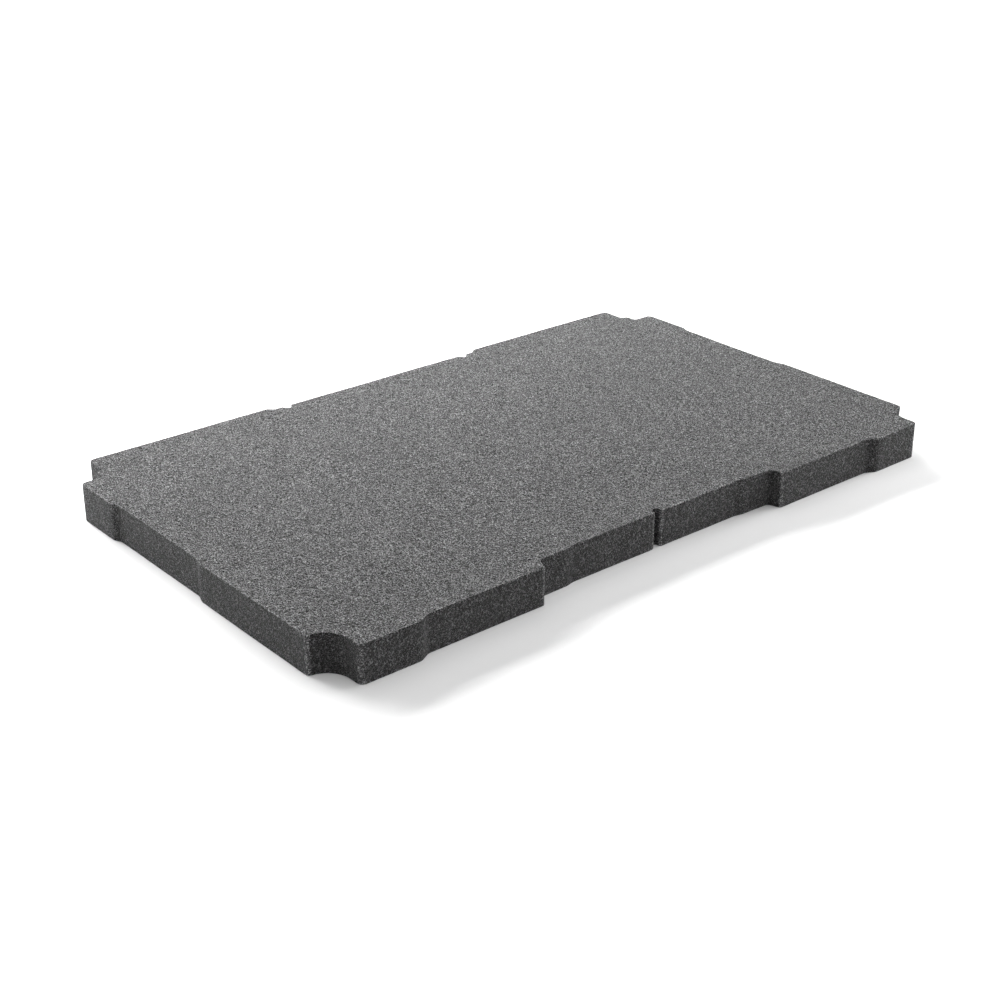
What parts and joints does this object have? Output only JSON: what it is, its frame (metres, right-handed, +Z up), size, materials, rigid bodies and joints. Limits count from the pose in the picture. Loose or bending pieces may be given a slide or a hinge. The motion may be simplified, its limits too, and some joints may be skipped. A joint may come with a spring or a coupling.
{
  "type": "case foam insert",
  "caption": "Flat foam pad that lines a moulded case, cut square through: round and stepped corner notches, a long latch recess with a small slot, and shallow reliefs along every edge.",
  "frame": {"origin": "middle of the underside, halfway along and halfway across the pad", "axes": "+X along the pad's length to the right when facing the latch side's edge from the front, +Y from the latch side to the hinge side, +Z up through the thickness"},
  "size_m": [0.5, 0.304, 0.025],
  "materials": {
    "foam": "matte"
  },
  "bodies": {
    "root": {"foam_pad": "foam"}
  },
  "joints": []
}
